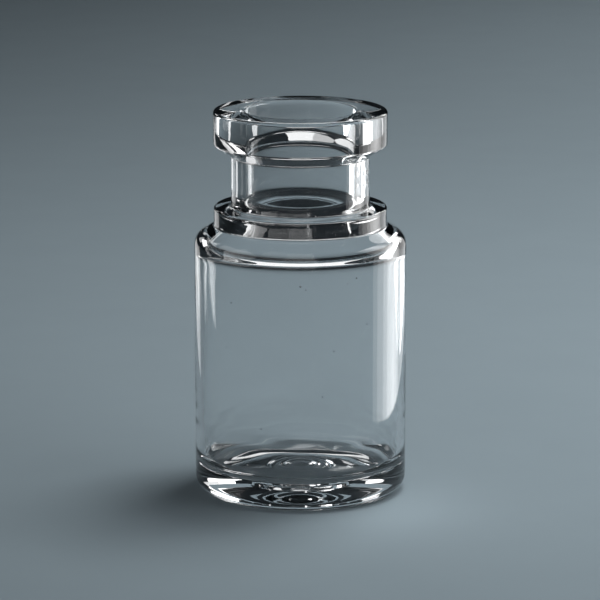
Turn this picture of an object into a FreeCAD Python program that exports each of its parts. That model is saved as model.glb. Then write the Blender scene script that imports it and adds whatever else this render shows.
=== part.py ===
import FreeCAD, Part
import enum
import math
import os
import typing
import Sketcher

# A clear plastic injection vial of the 10 ml format, with a 20 mm crimp neck, all in millimetres.
# It is moulded in one piece, round about +Z, and stands on a flat ring at Z = 0.
# From the mouth down it has a crimp flange, a neck, a collar as wide as the flange,
# a sloping shoulder, a body, a rounded heel and a thick base pushed up inside its ring.

SIZES = {
    "total_height": 44.5,
    "body_diameter": 24.4,
    "body_wall": 1.0,
    "bore_diameter": 12.6,
    "neck_wall": 1.65,
    "neck_length": 5.94,
    "flange_diameter": 20.0,
    "flange_height": 3.95,
    "flange_underside_slope": 32.4,
    "collar_diameter": 19.9,
    "collar_height": 2.1,
    "shoulder_slope": 31.7,
    "inner_shoulder_slope": 50.0,
    "bore_end_above_collar": 0.8,
    "base_thickness": 3.0,
    "standing_ring_width": 1.1,
    "push_up_height": 1.5,
    "gate_disc_diameter": 7.4,
    "gate_mark_diameter": 3.4,
    "gate_mark_depth": 0.15,
    "mouth_chamfer": 0.25,
    "flange_edge_chamfer": 0.3,
    "collar_edge_chamfer": 0.2,
    "collar_foot_chamfer": 0.25,
    "bore_flare_chamfer": 0.55,
    "inner_shoulder_chamfer": 0.55,
    "push_up_edge_chamfer": 0.2,
    "shoulder_radius": 1.8,
    "heel_radius": 1.8,
    "inner_heel_radius": 2.0,
}

# Radii of the walls, worked out from the sheet
BODY_R = "Sizes.body_diameter / 2"
CAVITY_R = f"({BODY_R} - Sizes.body_wall)"
BORE_R = "Sizes.bore_diameter / 2"
NECK_R = f"({BORE_R} + Sizes.neck_wall)"
FLANGE_R = "Sizes.flange_diameter / 2"
COLLAR_R = "Sizes.collar_diameter / 2"
PUSH_UP_R = f"({BODY_R} - Sizes.heel_radius - Sizes.standing_ring_width)"

# Heights of the corners, from the mouth down and then from the base up
MOUTH_Z = "Sizes.total_height"
FLANGE_FOOT_Z = f"({MOUTH_Z} - Sizes.flange_height)"
NECK_TOP_Z = f"({FLANGE_FOOT_Z} - ({FLANGE_R} - {NECK_R}) * tan(Sizes.flange_underside_slope))"
COLLAR_TOP_Z = f"({NECK_TOP_Z} - Sizes.neck_length)"
COLLAR_FOOT_Z = f"({COLLAR_TOP_Z} - Sizes.collar_height)"
SHOULDER_Z = f"({COLLAR_FOOT_Z} - ({BODY_R} - {COLLAR_R}) * tan(Sizes.shoulder_slope))"
BORE_END_Z = f"({COLLAR_TOP_Z} + Sizes.bore_end_above_collar)"
INNER_SHOULDER_Z = f"({BORE_END_Z} - ({CAVITY_R} - {BORE_R}) * tan(Sizes.inner_shoulder_slope))"
FLOOR_Z = "Sizes.base_thickness"
PUSH_UP_Z = "Sizes.push_up_height"
GATE_MARK_Z = f"({PUSH_UP_Z} + Sizes.gate_mark_depth)"

ZERO = "0"
FULL_TURN = 360.0
SAME_PLACE = 1e-4


class Corner(typing.NamedTuple):
    """A corner of the section: its radius, its height and, where it has one, the radius that rounds it."""
    r: str
    z: str
    rounding: str = ZERO


BASE_CENTRE = Corner(ZERO, ZERO)
BODY_FOOT = Corner(BODY_R, ZERO, "Sizes.heel_radius")
SHOULDER = Corner(BODY_R, SHOULDER_Z, "Sizes.shoulder_radius")
COLLAR_FOOT = Corner(COLLAR_R, COLLAR_FOOT_Z)
COLLAR_TOP = Corner(COLLAR_R, COLLAR_TOP_Z)
NECK_FOOT = Corner(NECK_R, COLLAR_TOP_Z)
NECK_TOP = Corner(NECK_R, NECK_TOP_Z)
FLANGE_FOOT = Corner(FLANGE_R, FLANGE_FOOT_Z)
FLANGE_TOP = Corner(FLANGE_R, MOUTH_Z)
MOUTH = Corner(BORE_R, MOUTH_Z)
MOUTH_CENTRE = Corner(ZERO, MOUTH_Z)
BORE_END = Corner(BORE_R, BORE_END_Z)
INNER_SHOULDER = Corner(CAVITY_R, INNER_SHOULDER_Z)
FLOOR_EDGE = Corner(CAVITY_R, FLOOR_Z, "Sizes.inner_heel_radius")
FLOOR_CENTRE = Corner(ZERO, FLOOR_Z)
PUSH_UP_EDGE = Corner(PUSH_UP_R, ZERO)
PUSH_UP_TOP = Corner(ZERO, PUSH_UP_Z)


class Axis(enum.IntEnum):
    """How a sketch numbers its own axes."""
    HORIZONTAL = -1
    VERTICAL = -2


class At(enum.IntEnum):
    """How a sketch numbers the points of an edge."""
    START = 1
    END = 2
    CENTRE = 3


class Bend(typing.NamedTuple):
    """How the section passes a corner: where it arrives and leaves, and the arc between, if any."""
    arrives: FreeCAD.Vector
    leaves: FreeCAD.Vector
    arc: typing.Any = None
    turns_left: bool = True


def fill_sheet(doc):
    """One row for each size: its name in column A, its value in column B under the same alias."""
    sheet = doc.addObject("Spreadsheet::Sheet", "Sizes")
    for row, (name, value) in enumerate(SIZES.items(), start=1):
        sheet.set(f"A{row}", name)
        sheet.set(f"B{row}", str(value))
        sheet.setAlias(f"B{row}", name)
    doc.recompute()


def plane_sketch(body, name, plane):
    """An empty sketch on one of the body's own origin planes."""
    sketch = body.newObject("Sketcher::SketchObject", name)
    support = next(f for f in body.Origin.OriginFeatures if f.Role == plane)
    sketch.AttachmentSupport = (support, "")
    sketch.MapMode = "FlatFace"
    return sketch


def value_of(feature, expression):
    return float(feature.evalExpression(expression))


def bind(sketch, constraint, expression):
    """Adds a constraint whose value follows an expression."""
    index = sketch.addConstraint(constraint)
    sketch.setExpression(f"Constraints[{index}]", expression)


def hold(sketch, edge, corner):
    """Holds the start of an edge at its corner: on the axis or the ground, or at a distance from it."""
    sides = ("DistanceX", Axis.VERTICAL, corner.r), ("DistanceY", Axis.HORIZONTAL, corner.z)
    for kind, axis, expression in sides:
        if expression == ZERO:
            sketch.addConstraint(Sketcher.Constraint("PointOnObject", edge, At.START, axis))
        else:
            distance = value_of(sketch, expression)
            held = Sketcher.Constraint(kind, Axis.HORIZONTAL, At.START, edge, At.START, distance)
            bind(sketch, held, expression)


def ring_of(items):
    """Each item of a closed ring, with the one before it and the one after it."""
    return zip(items[-1:] + items[:-1], items, items[1:] + items[:1])


def bend(before, here, after, radius):
    """The bend at a corner between its neighbours: a sharp one, or an arc that touches both sides."""
    if not radius:
        return Bend(here, here)
    back = (before - here).normalize()
    ahead = (after - here).normalize()
    half = back.getAngle(ahead) / 2
    centre = here + (back + ahead).normalize() * (radius / math.sin(half))
    arrives, leaves = (here + way * (radius / math.tan(half)) for way in (back, ahead))
    turns_left = back.cross(ahead).z < 0
    ends = (arrives, leaves) if turns_left else (leaves, arrives)
    angles = [math.atan2(end.y - centre.y, end.x - centre.x) for end in ends]
    circle = Part.Circle(centre, FreeCAD.Vector(0, 0, 1), radius)
    return Bend(arrives, leaves, Part.ArcOfCircle(circle, *angles), turns_left)


def dome(rim, top):
    """The arc from a rim up to a top on the axis, which it meets square."""
    rise = top.y - rim.y
    radius = (rim.x ** 2 + rise ** 2) / (2 * rise)
    centre = FreeCAD.Vector(0, top.y - radius, 0)
    rim_angle = math.atan2(rim.y - centre.y, rim.x)
    return Part.ArcOfCircle(Part.Circle(centre, FreeCAD.Vector(0, 0, 1), radius), rim_angle, math.pi / 2)


def round_off(sketch, last_side, next_side, corner, place, turn):
    """Puts a corner's arc between its two sides, which would meet at a point held at the corner."""
    arc = sketch.addGeometry(turn.arc, False)
    point = sketch.addGeometry(Part.Point(place), True)
    first, second = (At.START, At.END) if turn.turns_left else (At.END, At.START)
    sketch.addConstraint(Sketcher.Constraint("Tangent", last_side, At.END, arc, first))
    sketch.addConstraint(Sketcher.Constraint("Tangent", next_side, At.START, arc, second))
    sketch.addConstraint(Sketcher.Constraint("PointOnObject", point, At.START, last_side))
    sketch.addConstraint(Sketcher.Constraint("PointOnObject", point, At.START, next_side))
    hold(sketch, point, corner)
    bind(sketch, Sketcher.Constraint("Radius", arc, turn.arc.Radius), corner.rounding)


def section_sketch(body, name, corners, domed=False):
    """A closed half section through the corners: X is the radius and Y the height.

    Its sides are straight, but a domed section's first side is an arc centred on the axis.
    """
    sketch = plane_sketch(body, name, "XZ_Plane")
    places = [FreeCAD.Vector(value_of(sketch, c.r), value_of(sketch, c.z), 0) for c in corners]
    radii = [value_of(sketch, c.rounding) for c in corners]
    turns = [bend(*three, radius) for three, radius in zip(ring_of(places), radii)]
    paths = [Part.LineSegment(turn.leaves, following.arrives) for _, turn, following in ring_of(turns)]
    if domed:
        rim, top, *_ = places
        paths[0] = dome(rim, top)
    sides = [sketch.addGeometry(path, False) for path in paths]
    if domed:
        sketch.addConstraint(Sketcher.Constraint("PointOnObject", sides[0], At.CENTRE, Axis.VERTICAL))
    for (last_side, side, _), corner, place, turn in zip(ring_of(sides), corners, places, turns):
        if turn.arc:
            round_off(sketch, last_side, side, corner, place, turn)
        else:
            sketch.addConstraint(Sketcher.Constraint("Coincident", last_side, At.END, side, At.START))
            hold(sketch, side, corner)
    return sketch


def turned(body, kind, name, sketch):
    """A Revolution that adds, or a Groove that cuts, the section turned right round the axis."""
    feature = body.newObject(kind, name)
    feature.Profile = sketch
    feature.ReferenceAxis = (sketch, ["V_Axis"])
    feature.Angle = FULL_TURN
    body.Document.recompute()
    return feature


def cut_must_bite(before, feature):
    """A cut that points away from the solid removes nothing and raises no error."""
    if not feature.Shape.Volume < before - SAME_PLACE:
        raise RuntimeError(f"{feature.Name} cuts nothing")


def rim_edges(feature, corners):
    """The names of the round edges that lie on these corners of the section."""
    wanted = [(value_of(feature, c.r), value_of(feature, c.z)) for c in corners]
    names = []
    for number, edge in enumerate(feature.Shape.Edges, start=1):
        if edge.Degenerated or not isinstance(edge.Curve, Part.Circle):
            continue
        rim = (edge.Curve.Radius, edge.Curve.Center.z)
        if any(math.dist(rim, corner) < SAME_PLACE for corner in wanted):
            names.append(f"Edge{number}")
    if len(names) != len(wanted):
        raise RuntimeError(f"{feature.Name} has {len(names)} of {len(wanted)} rims")
    return names


def eased(body, base, name, size, corners):
    """A chamfer along the rims at these corners, all of one size from the sheet."""
    chamfer = body.newObject("PartDesign::Chamfer", name)
    chamfer.Base = (base, rim_edges(base, corners))
    chamfer.setExpression("Size", f"Sizes.{size}")
    body.Document.recompute()
    return chamfer


def outer_form(body):
    """The outside, solid right through: body, shoulder, collar, neck and flange."""
    corners = [BASE_CENTRE, BODY_FOOT, SHOULDER, COLLAR_FOOT, COLLAR_TOP, NECK_FOOT,
               NECK_TOP, FLANGE_FOOT, FLANGE_TOP, MOUTH_CENTRE]
    sketch = section_sketch(body, "OuterSection", corners)
    return turned(body, "PartDesign::Revolution", "OuterForm", sketch)


def cavity(body, solid):
    """The bore, the widening under it and the chamber, down to its flat floor."""
    corners = [FLOOR_CENTRE, FLOOR_EDGE, INNER_SHOULDER, BORE_END, MOUTH, MOUTH_CENTRE]
    sketch = section_sketch(body, "CavitySection", corners)
    before = solid.Shape.Volume
    groove = turned(body, "PartDesign::Groove", "Cavity", sketch)
    cut_must_bite(before, groove)
    return groove


def push_up(body, solid):
    """The shallow dome under the base, which leaves the ring that the vial stands on."""
    sketch = section_sketch(body, "PushUpSection", [PUSH_UP_EDGE, PUSH_UP_TOP, BASE_CENTRE], domed=True)
    before = solid.Shape.Volume
    groove = turned(body, "PartDesign::Groove", "PushUp", sketch)
    cut_must_bite(before, groove)
    return groove


def round_recess(body, solid, name, diameter, depth):
    """A round recess up into the base, from the ground to the depth that an expression gives."""
    sketch = plane_sketch(body, f"{name}Circle", "XY_Plane")
    size = value_of(sketch, diameter)
    sketch.addGeometry(Part.Circle(FreeCAD.Vector(0, 0, 0), FreeCAD.Vector(0, 0, 1), size / 2), False)
    sketch.addConstraint(Sketcher.Constraint("Coincident", 0, At.CENTRE, Axis.HORIZONTAL, At.START))
    bind(sketch, Sketcher.Constraint("Diameter", 0, size), diameter)
    before = solid.Shape.Volume
    pocket = body.newObject("PartDesign::Pocket", name)
    pocket.Profile = sketch
    pocket.Reversed = True
    pocket.setExpression("Length", depth)
    body.Document.recompute()
    cut_must_bite(before, pocket)
    return pocket


def gate_marks(body, solid):
    """The flat disc in the middle of the push-up, and in it the mark that the mould's gate leaves."""
    solid = round_recess(body, solid, "GateDisc", "Sizes.gate_disc_diameter", PUSH_UP_Z)
    return round_recess(body, solid, "GateMark", "Sizes.gate_mark_diameter", GATE_MARK_Z)


def eased_edges(body, solid):
    """The sharp rims are eased as the mould eases them; the wide radii are drawn in the sections."""
    solid = eased(body, solid, "FlangeEdges", "flange_edge_chamfer", [FLANGE_TOP, FLANGE_FOOT])
    solid = eased(body, solid, "CollarEdge", "collar_edge_chamfer", [COLLAR_TOP])
    solid = eased(body, solid, "CollarFoot", "collar_foot_chamfer", [COLLAR_FOOT])
    solid = eased(body, solid, "Mouth", "mouth_chamfer", [MOUTH])
    solid = eased(body, solid, "BoreFlare", "bore_flare_chamfer", [BORE_END])
    solid = eased(body, solid, "InnerShoulder", "inner_shoulder_chamfer", [INNER_SHOULDER])
    return eased(body, solid, "PushUpEdge", "push_up_edge_chamfer", [PUSH_UP_EDGE])


def vial(doc):
    body = doc.addObject("PartDesign::Body", "Vial")
    body.Label = "vial"
    solid = outer_form(body)
    solid = cavity(body, solid)
    solid = push_up(body, solid)
    solid = gate_marks(body, solid)
    eased_edges(body, solid)
    return body


def check(doc, parts):
    """Nothing is written unless every object recomputed and every part is a sound solid."""
    doc.recompute()
    failed = [o.Name for o in doc.Objects if {"Invalid", "Error"} & set(o.State)]
    if failed:
        raise RuntimeError(f"failed objects: {failed}")
    for part in parts:
        if part.Shape.isNull() or not part.Shape.isValid() or len(part.Shape.Solids) != 1:
            raise RuntimeError(f"{part.Label} is not one sound solid")


def write(parts):
    os.makedirs("parts", exist_ok=True)
    for part in parts:
        part.Shape.exportStep(os.path.join("parts", f"{part.Label}.step"))
        print(part.Label, "volume", round(part.Shape.Volume, 1), "mm3")


def main():
    doc = FreeCAD.newDocument("InjectionVial")
    fill_sheet(doc)
    parts = [vial(doc)]
    check(doc, parts)
    write(parts)


main()
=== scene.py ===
import math

import bpy
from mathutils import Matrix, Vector

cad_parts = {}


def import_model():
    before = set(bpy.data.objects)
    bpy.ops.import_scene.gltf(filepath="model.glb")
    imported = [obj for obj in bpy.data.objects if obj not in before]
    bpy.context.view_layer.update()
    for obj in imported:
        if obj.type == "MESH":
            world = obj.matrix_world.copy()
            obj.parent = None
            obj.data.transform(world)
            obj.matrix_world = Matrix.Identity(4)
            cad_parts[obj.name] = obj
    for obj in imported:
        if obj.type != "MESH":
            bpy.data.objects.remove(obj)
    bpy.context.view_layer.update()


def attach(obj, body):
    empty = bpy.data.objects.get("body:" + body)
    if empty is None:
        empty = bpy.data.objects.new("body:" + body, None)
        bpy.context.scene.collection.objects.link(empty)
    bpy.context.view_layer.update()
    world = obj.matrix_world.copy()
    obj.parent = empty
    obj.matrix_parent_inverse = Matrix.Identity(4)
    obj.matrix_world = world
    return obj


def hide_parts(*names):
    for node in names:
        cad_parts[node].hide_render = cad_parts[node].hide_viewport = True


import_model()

# A clear plastic injection vial on a plain floor. Lengths named here are in millimetres,
# and MM turns them into the scene's metres.
MM = 0.001

TOTAL_HEIGHT = 44.5
BODY_R = 12.2
CAVITY_R = 11.2
BORE_R = 6.3
NECK_R = 7.95
FLANGE_R = 10.0
COLLAR_R = 9.95
FLANGE_FOOT_Z = 40.55
NECK_TOP_Z = 39.25
COLLAR_TOP_Z = 33.31
COLLAR_FOOT_Z = 31.21
SHOULDER_Z = 29.82
BORE_END_Z = 34.11
INNER_SHOULDER_Z = 28.27
FLOOR_Z = 3.0
PUSH_UP_R = 9.3
PUSH_UP = 1.5
GATE_DISC_R = 3.7
GATE_MARK_R = 1.7
GATE_MARK_Z = 1.65
GATE_EDGE = 0.05

# Roundings, from the underside up the outside and down the inside.
STANDING_EDGE = 0.2
HEEL = 1.8
SHOULDER = 1.8
COLLAR_FOOT = 0.3
COLLAR_TOP = 0.25
NECK_END = 0.3
FLANGE_EDGE = 0.4
MOUTH = 0.3
FLARE = 1.5
INNER_SHOULDER = 1.5
INNER_HEEL = 2.0

# The mesh: points round the axis, rows on plain and on detailed walls, steps on the dome and in an arc.
AROUND = 288
COARSE_ROW = 0.8
FINE_ROW = 0.3
DOME_STEPS = 14
ARC_STEP = math.radians(9)
CLOSE = 0.001

# The inside wall's rings lie round one height, and a slower drift runs over all of it.
RINGS_Z = 8.5
RINGS_SPREAD = 2.6
RINGS_PITCH = 2.1
RINGS_RISE = 0.010
DRIFT_RISE = 0.012
FINE_DRIFT_RISE = 0.005
RIPPLE_FADE = 2

# The two mould halves meet on this angle, counted from the front towards the right.
PARTING_ANGLE = math.radians(12.5)
PARTING_RISE = 0.03
PARTING_HALF_WIDTH = 0.18

# Raised dots on the neck: their angles from the front, their heights, radius and rise.
DOT_ANGLES = (66.0, 70.5, 75.0)
DOT_HEIGHTS = (36.4, 37.7)
DOT_R = 0.3
DOT_RISE = 0.07

# Small air specks in the body's wall: angle from the front, height and radius.
SPECKS = ((0, 26.4, 0.12), (3, 26.0, 0.08), (32, 27.0, 0.09), (18.5, 18.8, 0.08), (12, 13.6, 0.09),
          (-41, 23.9, 0.08), (39, 21.5, 0.07), (-22, 9.7, 0.07), (150, 22.0, 0.08), (-128, 15.0, 0.08))
SPECK_R = 11.7
SPECK_ROWS, SPECK_COLUMNS = 4, 8

# The camera, fitted to the photograph: its focal length in pixels of a frame of this width.
FOCAL_PX = 3692
FRAME_PX = 600
SENSOR_WIDTH = 36
CAMERA_DISTANCE = 0.4261
CAMERA_ELEVATION = math.radians(12.61)
CAMERA_AIM = Vector((-0.00005, 0, 0.02222))


def rounded_path(corners):
    """Points along straight lines through (radius, height, rounding) corners, with an arc at each."""
    points = []
    for index, (r, z, rounding) in enumerate(corners):
        here = Vector((r, z))
        if rounding == 0:
            points.append(here)
            continue
        to_last = (Vector(corners[index - 1][:2]) - here).normalized()
        to_next = (Vector(corners[index + 1][:2]) - here).normalized()
        half = to_last.angle(to_next) / 2
        reach = rounding / math.tan(half)
        centre = here + (to_last + to_next).normalized() * (rounding / math.sin(half))
        start = here + to_last * reach - centre
        end = here + to_next * reach - centre
        turn = start.angle_signed(end)
        steps = max(3, math.ceil(abs(turn) / ARC_STEP))
        for step in range(steps + 1):
            angle = -turn * step / steps
            c, s = math.cos(angle), math.sin(angle)
            points.append(centre + Vector((start.x * c - start.y * s, start.x * s + start.y * c)))
    return points


def on_neck(p):
    return abs(p.x - NECK_R) < CLOSE


def on_cavity_wall(p):
    return abs(p.x - CAVITY_R) < CLOSE


def with_rows(points):
    """The same path with its long straight runs divided, more finely where the surface carries detail."""
    out = [points[0]]
    for a, b in zip(points, points[1:]):
        detailed = (on_neck(a) and on_neck(b)) or (on_cavity_wall(a) and on_cavity_wall(b))
        pieces = max(1, round((b - a).length / (FINE_ROW if detailed else COARSE_ROW)))
        out += [a.lerp(b, k / pieces) for k in range(1, pieces + 1)]
    return out


def push_up_height(r):
    """Height of the domed underside at a radius."""
    dome_radius = (PUSH_UP_R ** 2 + PUSH_UP ** 2) / (2 * PUSH_UP)
    return PUSH_UP - dome_radius + math.sqrt(dome_radius ** 2 - r ** 2)


def section():
    """The closed half section, from the axis under the base, up the outside and back to the axis."""
    run = PUSH_UP_R - GATE_DISC_R
    radii = [GATE_DISC_R + run * k / DOME_STEPS for k in range(DOME_STEPS)]
    gate = [
        (0, GATE_MARK_Z, 0),
        (GATE_MARK_R - GATE_EDGE, GATE_MARK_Z, 0),
        (GATE_MARK_R, PUSH_UP, 0),
        (GATE_DISC_R - GATE_EDGE, PUSH_UP, 0),
    ]
    dome = [(r, push_up_height(r), 0) for r in radii]
    outside = [
        (PUSH_UP_R, 0, STANDING_EDGE),
        (BODY_R, 0, HEEL),
        (BODY_R, SHOULDER_Z, SHOULDER),
        (COLLAR_R, COLLAR_FOOT_Z, COLLAR_FOOT),
        (COLLAR_R, COLLAR_TOP_Z, COLLAR_TOP),
        (NECK_R, COLLAR_TOP_Z, NECK_END),
        (NECK_R, NECK_TOP_Z, NECK_END),
        (FLANGE_R, FLANGE_FOOT_Z, FLANGE_EDGE),
        (FLANGE_R, TOTAL_HEIGHT, FLANGE_EDGE),
    ]
    inside = [
        (BORE_R, TOTAL_HEIGHT, MOUTH),
        (BORE_R, BORE_END_Z, FLARE),
        (CAVITY_R, INNER_SHOULDER_Z, INNER_SHOULDER),
        (CAVITY_R, FLOOR_Z, INNER_HEEL),
        (0, FLOOR_Z, 0),
    ]
    return with_rows(rounded_path(gate + dome + outside + inside))


def cavity_ripple(angle, z):
    """The moulded inside wall is a little uneven, mostly in its lowest third."""
    low = math.exp(-((z - RINGS_Z) / RINGS_SPREAD) ** 2)
    rings = RINGS_RISE * low * math.sin(2 * math.pi * z / RINGS_PITCH + 1.3 * math.sin(3 * angle))
    drift = DRIFT_RISE * math.sin(2 * angle + 0.9) * math.sin(z / 5)
    fine_drift = FINE_DRIFT_RISE * math.sin(7 * angle + z / 2.5)
    from_floor = (z - FLOOR_Z - INNER_HEEL) / RIPPLE_FADE
    from_shoulder = (INNER_SHOULDER_Z - 1 - z) / RIPPLE_FADE
    return (rings + (drift + fine_drift)) * max(0, min(1, from_floor, from_shoulder))


def neck_relief(angle, z):
    """The parting line and the raised dots of the neck."""
    relief = 0
    for line in (PARTING_ANGLE, PARTING_ANGLE + math.pi):
        away = abs(math.remainder(angle - line, 2 * math.pi)) * NECK_R
        relief += PARTING_RISE * max(0, 1 - away / PARTING_HALF_WIDTH)
    for dot_angle in DOT_ANGLES:
        across = math.remainder(angle - math.radians(dot_angle), 2 * math.pi) * NECK_R
        for height in DOT_HEIGHTS:
            away = math.hypot(across, z - height)
            relief += DOT_RISE * max(0, 1 - (away / DOT_R) ** 2)
    return relief


def radius_at(p, angle):
    """Radius of the surface on a row of the section, at an angle from the front."""
    if on_cavity_wall(p):
        return p.x + cavity_ripple(angle, p.y)
    if on_neck(p):
        return p.x + neck_relief(angle, p.y)
    return p.x


def ring_point(radius, angle, z):
    """A point in metres at an angle from the front, which is -Y, towards the right."""
    return (radius * math.sin(angle) * MM, -radius * math.cos(angle) * MM, z * MM)


def add_speck(verts, faces, angle, z, radius):
    """A closed bubble in the wall, its faces turned inwards to the air."""
    centre = Vector(ring_point(SPECK_R, angle, z))
    up = Vector((0, 0, radius * MM))
    first = len(verts)
    for row in range(SPECK_ROWS):
        tilt = math.pi * (row + 1) / (SPECK_ROWS + 1)
        for column in range(SPECK_COLUMNS):
            turn = 2 * math.pi * column / SPECK_COLUMNS
            way = Vector((math.sin(tilt) * math.cos(turn), math.sin(tilt) * math.sin(turn), math.cos(tilt)))
            verts.append(tuple(centre + way * radius * MM))
    top = len(verts)
    verts += [tuple(centre + up), tuple(centre - up)]
    lowest = top - SPECK_COLUMNS
    for column in range(SPECK_COLUMNS):
        beside = (column + 1) % SPECK_COLUMNS
        for row in range(SPECK_ROWS - 1):
            a = first + row * SPECK_COLUMNS + column
            b = first + row * SPECK_COLUMNS + beside
            faces.append((a, b, b + SPECK_COLUMNS, a + SPECK_COLUMNS))
        faces.append((top, first + beside, first + column))
        faces.append((top + 1, lowest + column, lowest + beside))


def lathe(name, path):
    """A closed solid: the path starts and ends on the axis, and is turned once round it."""
    verts, faces = [(0, 0, path[0].y * MM)], []
    ring = path[1:-1]
    for p in ring:
        for k in range(AROUND):
            angle = 2 * math.pi * k / AROUND
            verts.append(ring_point(radius_at(p, angle), angle, p.y))
    verts.append((0, 0, path[-1].y * MM))
    last = len(verts) - 1

    def at(row, k):
        return 1 + row * AROUND + k % AROUND

    for k in range(AROUND):
        faces.append((0, at(0, k + 1), at(0, k)))
        faces.append((last, at(len(ring) - 1, k), at(len(ring) - 1, k + 1)))
        for row in range(len(ring) - 1):
            faces.append((at(row, k), at(row, k + 1), at(row + 1, k + 1), at(row + 1, k)))
    for degrees, z, radius in SPECKS:
        add_speck(verts, faces, math.radians(degrees), z, radius)
    mesh = bpy.data.meshes.new(name)
    mesh.from_pydata(verts, [], faces)
    mesh.validate()
    mesh.update()
    mesh.polygons.foreach_set("use_smooth", [True] * len(mesh.polygons))
    obj = bpy.data.objects.new(name, mesh)
    bpy.context.scene.collection.objects.link(obj)
    return obj


def noise(tree, scale, detail):
    """A noise texture in the object's own coordinates."""
    place = tree.nodes.new("ShaderNodeTexCoord")
    node = tree.nodes.new("ShaderNodeTexNoise")
    node.inputs["Scale"].default_value = scale
    node.inputs["Detail"].default_value = detail
    tree.links.new(place.outputs["Object"], node.inputs["Vector"])
    return node


def bump(tree, shader, source, distance, strength):
    node = tree.nodes.new("ShaderNodeBump")
    node.inputs["Distance"].default_value = distance
    node.inputs["Strength"].default_value = strength
    tree.links.new(source.outputs["Fac"], node.inputs["Height"])
    tree.links.new(node.outputs["Normal"], shader.inputs["Normal"])


def clear_plastic():
    mat = bpy.data.materials.new("clear_plastic")
    mat.use_nodes = True
    tree = mat.node_tree
    shader = tree.nodes["Principled BSDF"]
    shader.inputs["Base Color"].default_value = (0.985, 0.992, 0.995, 1)
    shader.inputs["IOR"].default_value = 1.53
    shader.inputs["Transmission Weight"].default_value = 1.0
    # A few scuffs are duller than the polished rest.
    scuffs = tree.nodes.new("ShaderNodeValToRGB")
    scuffs.color_ramp.elements[0].position = 0.66
    scuffs.color_ramp.elements[0].color = (0, 0, 0, 1)
    scuffs.color_ramp.elements[1].position = 0.74
    scuffs.color_ramp.elements[1].color = (0.12, 0.12, 0.12, 1)
    tree.links.new(noise(tree, 420, 6).outputs["Fac"], scuffs.inputs["Fac"])
    tree.links.new(scuffs.outputs["Color"], shader.inputs["Roughness"])
    bump(tree, shader, noise(tree, 260, 1), 0.00002, 0.35)
    return mat


def srgb(r, g, b):
    def lin(c):
        c /= 255
        return c / 12.92 if c <= 0.04045 else ((c + 0.055) / 1.055) ** 2.4
    return (lin(r), lin(g), lin(b), 1)


def floor():
    size = 3.0
    corners = [(-size, -size, 0), (size, -size, 0), (size, size, 0), (-size, size, 0)]
    mesh = bpy.data.meshes.new("floor")
    mesh.from_pydata(corners, [], [(0, 1, 2, 3)])
    obj = bpy.data.objects.new("floor", mesh)
    bpy.context.scene.collection.objects.link(obj)
    mat = bpy.data.materials.new("floor")
    mat.use_nodes = True
    tree = mat.node_tree
    shader = tree.nodes["Principled BSDF"]
    tone = tree.nodes.new("ShaderNodeValToRGB")
    tone.color_ramp.elements[0].color = srgb(146, 161, 169)
    tone.color_ramp.elements[1].color = srgb(150, 165, 173)
    tree.links.new(noise(tree, 90, 8).outputs["Fac"], tone.inputs["Fac"])
    tree.links.new(tone.outputs["Color"], shader.inputs["Base Color"])
    shader.inputs["Roughness"].default_value = 0.6
    shader.inputs["Specular IOR Level"].default_value = 0.0
    mesh.materials.append(mat)


def softbox(name, place, aim, width, height, radiance, seen_by, shadow=True):
    """A soft lamp of one radiance, which lights the floor, or shows in gloss or clear plastic."""
    data = bpy.data.lights.new(name, "AREA")
    data.shape = "RECTANGLE"
    data.size, data.size_y = width, height
    data.energy = radiance * math.pi * width * height
    data.use_shadow = shadow
    obj = bpy.data.objects.new(name, data)
    obj.location = place
    obj.rotation_euler = (Vector(place) - Vector(aim)).to_track_quat("Z", "Y").to_euler()
    obj.visible_camera = False
    obj.visible_diffuse = "floor" in seen_by
    obj.visible_glossy = "gloss" in seen_by
    obj.visible_transmission = "plastic" in seen_by
    bpy.context.scene.collection.objects.link(obj)


def side_card(name, x, y0, y1, z0, z1, radiance, seen_by):
    """A card that stands at the side and faces the vial."""
    y, z = (y0 + y1) / 2, (z0 + z1) / 2
    softbox(name, (x, y, z), (0, y, z), y1 - y0, z1 - z0, radiance, seen_by)


def ceiling_card(name, x0, x1, y0, y1, radiance, seen_by):
    """A card above the vial that faces down."""
    x, y = (x0 + x1) / 2, (y0 + y1) / 2
    softbox(name, (x, y, 0.5), (x, y, 0), x1 - x0, y1 - y0, radiance, seen_by)


def back_card(name, x0, x1, y, z0, z1, radiance):
    """A card behind the vial that faces it."""
    x, z = (x0 + x1) / 2, (z0 + z1) / 2
    softbox(name, (x, y, z), (x, 0, z), x1 - x0, z1 - z0, radiance, "gloss and plastic")


def floor_lamps():
    # Strips light the floor from the right, so that it is paler there. Clear plastic lets much of
    # their light through, so one of them casts no shadow.
    for name, radiance, shadow in (("right_strip", 1.35, True), ("right_strip_through", 1.45, False)):
        softbox(name, (0.12, 0.15, 0.10), (-0.08, 0.15, 0), 0.6, 0.1, radiance, "floor", shadow)
    softbox("key", (0.06, 0.06, 0.25), (0, 0, 0), 0.1, 0.1, 9.5, "floor")
    # The light that the plastic bends to its front right.
    softbox("pool", (0.006, -0.009, 0.012), (0.006, -0.009, 0), 0.014, 0.014, 1.6, "floor", shadow=False)


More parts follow.
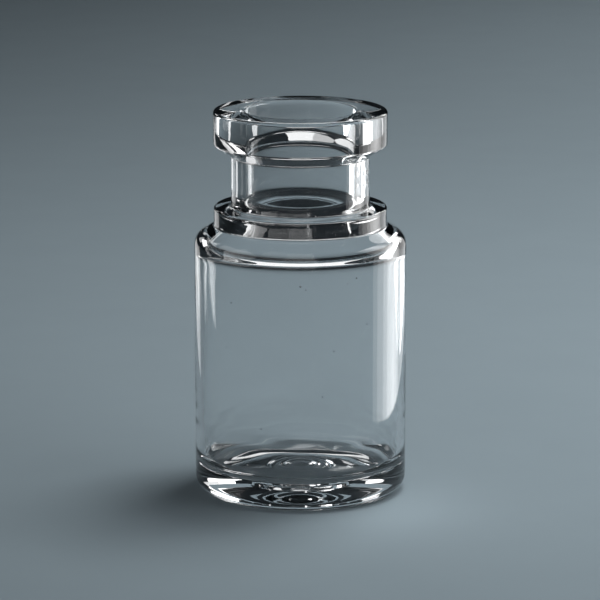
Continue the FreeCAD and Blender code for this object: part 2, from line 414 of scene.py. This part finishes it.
def cards():
    ceiling_card("overhead", -0.12, 0.12, -0.35, -0.12, 1.1, "plastic")
    ceiling_card("overhead_left", -0.35, -0.12, -0.35, -0.12, 0.6, "plastic")
    ceiling_card("far_left", -0.75, -0.35, -0.12, 0.35, 1.0, "gloss and plastic")
    # The highlight on the right brightens towards its middle in four steps, each card a little
    # nearer to the vial than the last.
    steps = ((-0.012, 0.085, 1.2), (-0.007, 0.030, 1.3), (0.000, 0.024, 1.5), (0.005, 0.018, 1.5))
    for step, (y0, y1, radiance) in enumerate(steps):
        side_card(f"right_gloss_{step + 1}", 0.0470 - 0.0005 * step, y0, y1, 0.0, 0.08, radiance, "gloss")
    side_card("right_card", 0.0480, 0.030, 0.080, 0.027, 0.08, 1.0, "plastic")
    side_card("right_low_card", 0.0480, 0.055, 0.110, 0.0, 0.027, 2.8, "plastic")
    side_card("left_low_card", -0.0480, 0.075, 0.110, 0.0, 0.027, 0.8, "plastic")
    side_card("left_gloss", -0.0470, 0.040, 0.110, 0.0, 0.027, 1.1, "gloss")
    back_card("back_right", 0.28, 0.45, 0.6, 0.12, 0.7, 2.8)
    back_card("back_left", -0.45, -0.28, 0.6, 0.12, 0.25, 1.6)
    back_card("back_near", -0.012, 0.012, 0.07, 0.061, 0.078, 1.2)


def world(strength):
    studio = bpy.data.worlds.new("studio")
    bpy.context.scene.world = studio
    studio.use_nodes = True
    background = studio.node_tree.nodes["Background"]
    background.inputs["Color"].default_value = srgb(150, 165, 178)
    background.inputs["Strength"].default_value = strength


def camera():
    data = bpy.data.cameras.new("camera")
    data.sensor_width = SENSOR_WIDTH
    data.lens = FOCAL_PX / FRAME_PX * SENSOR_WIDTH
    obj = bpy.data.objects.new("camera", data)
    back = Vector((0, -math.cos(CAMERA_ELEVATION), math.sin(CAMERA_ELEVATION)))
    obj.location = CAMERA_AIM + back * CAMERA_DISTANCE
    obj.rotation_euler = back.to_track_quat("Z", "Y").to_euler()
    bpy.context.scene.collection.objects.link(obj)
    bpy.context.scene.camera = obj


vial = lathe("vial_clear", section())
vial.data.materials.append(clear_plastic())
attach(vial, "root")
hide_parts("vial")

floor()
floor_lamps()
cards()
world(0.03)
camera()

bpy.context.scene.view_settings.view_transform = "Standard"
